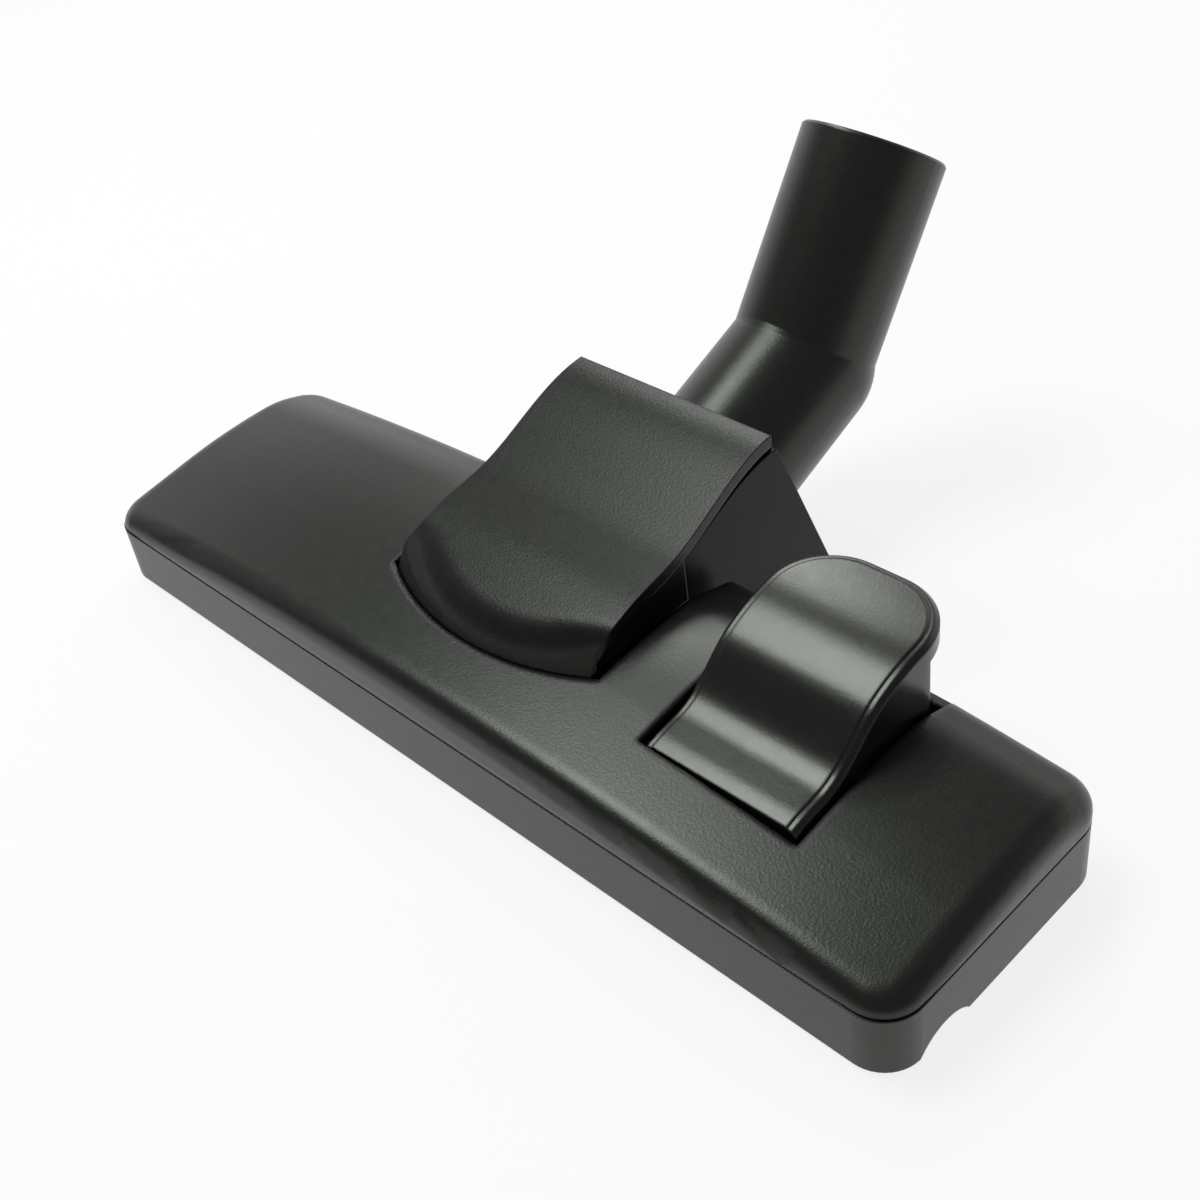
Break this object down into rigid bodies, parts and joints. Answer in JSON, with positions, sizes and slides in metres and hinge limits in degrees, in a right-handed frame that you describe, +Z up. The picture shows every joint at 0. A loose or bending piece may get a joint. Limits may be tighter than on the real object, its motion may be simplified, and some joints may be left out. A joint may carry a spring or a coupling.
{
  "type": "vacuum floor head",
  "caption": "Black floor head for a vacuum cleaner: long domed body on a flat sole, tilting neck with a swivelling elbow socket, and a foot pedal that lowers the brush.",
  "frame": {"origin": "on the floor under the middle of the body, in the plane of the sole", "axes": "+X along the head towards the pedal, +Y to the rear, where the neck leaves, +Z up"},
  "size_m": [0.272, 0.1904, 0.1027],
  "materials": {
    "cover_plastic": "satin, fine moulded grain",
    "base_plastic": "satin, fine moulded grain",
    "pedal_plastic": "half gloss",
    "tube_plastic": "satin",
    "sole_plastic": "worn smooth",
    "lint_fabric": "short directional pile",
    "bristle_nylon": "straight filaments",
    "seal_felt": "felt",
    "seal_rubber": "matte",
    "wheel_plastic": "satin",
    "plain_steel": "bright"
  },
  "bodies": {
    "body": {"top_cover": "cover_plastic", "base_housing": "base_plastic", "sole_plate": "sole_plastic", "lint_strip_front": "lint_fabric", "lint_strip_rear": "lint_fabric", "carrier_spring_left": "plain_steel", "carrier_spring_right": "plain_steel", "wheel_axle_left": "plain_steel", "wheel_axle_right": "plain_steel", "neck_cap_left": "base_plastic", "neck_cap_right": "base_plastic", "barrel_seal": "seal_felt", "pedal_pin": "plain_steel", "cover_screws": "plain_steel", "sole_screws": "plain_steel"},
    "neck": {"knuckle_body": "cover_plastic", "knuckle_cover": "cover_plastic", "swivel_seal": "seal_rubber"},
    "elbow": {"elbow_tube": "tube_plastic", "swivel_ring": "base_plastic"},
    "pedal": {"pedal": "pedal_plastic"},
    "brush": {"brush_carrier": "base_plastic", "bristle_front": "bristle_nylon", "bristle_rear_left": "bristle_nylon", "bristle_rear_right": "bristle_nylon"},
    "wheel_left": {"wheel_left": "wheel_plastic"},
    "wheel_right": {"wheel_right": "wheel_plastic"}
  },
  "joints": [
    {"name": "neck_tilt", "type": "hinge", "parent": "body", "child": "neck", "pos_m": [0, 0.014, 0.02], "axis": [1, 0, 0], "range_deg": [0, 30]},
    {"name": "elbow_swivel", "type": "hinge", "parent": "neck", "child": "elbow", "pos_m": [0, 0.0683, 0.0288], "axis": [0, 0.9265, 0.3762], "continuous": true},
    {"name": "pedal_press", "type": "hinge", "parent": "body", "child": "pedal", "pos_m": [0.0765, 0.005, 0.026], "axis": [-1, 0, 0], "range_deg": [0, 16]},
    {"name": "brush_drop", "type": "slide", "parent": "body", "child": "brush", "axis": [0, 0, -1], "range_m": [0, 0.0068], "deforming": ["carrier_spring_left", "carrier_spring_right"]},
    {"name": "wheel_left_roll", "type": "hinge", "parent": "body", "child": "wheel_left", "pos_m": [-0.047, 0.026, 0.0073], "axis": [1, 0, 0], "continuous": true},
    {"name": "wheel_right_roll", "type": "hinge", "parent": "body", "child": "wheel_right", "pos_m": [0.047, 0.026, 0.0073], "axis": [1, 0, 0], "continuous": true}
  ],
  "couplings": [
    {"joint": "brush_drop", "follows": "pedal_press", "m_per_rad": 0.02435}
  ]
}
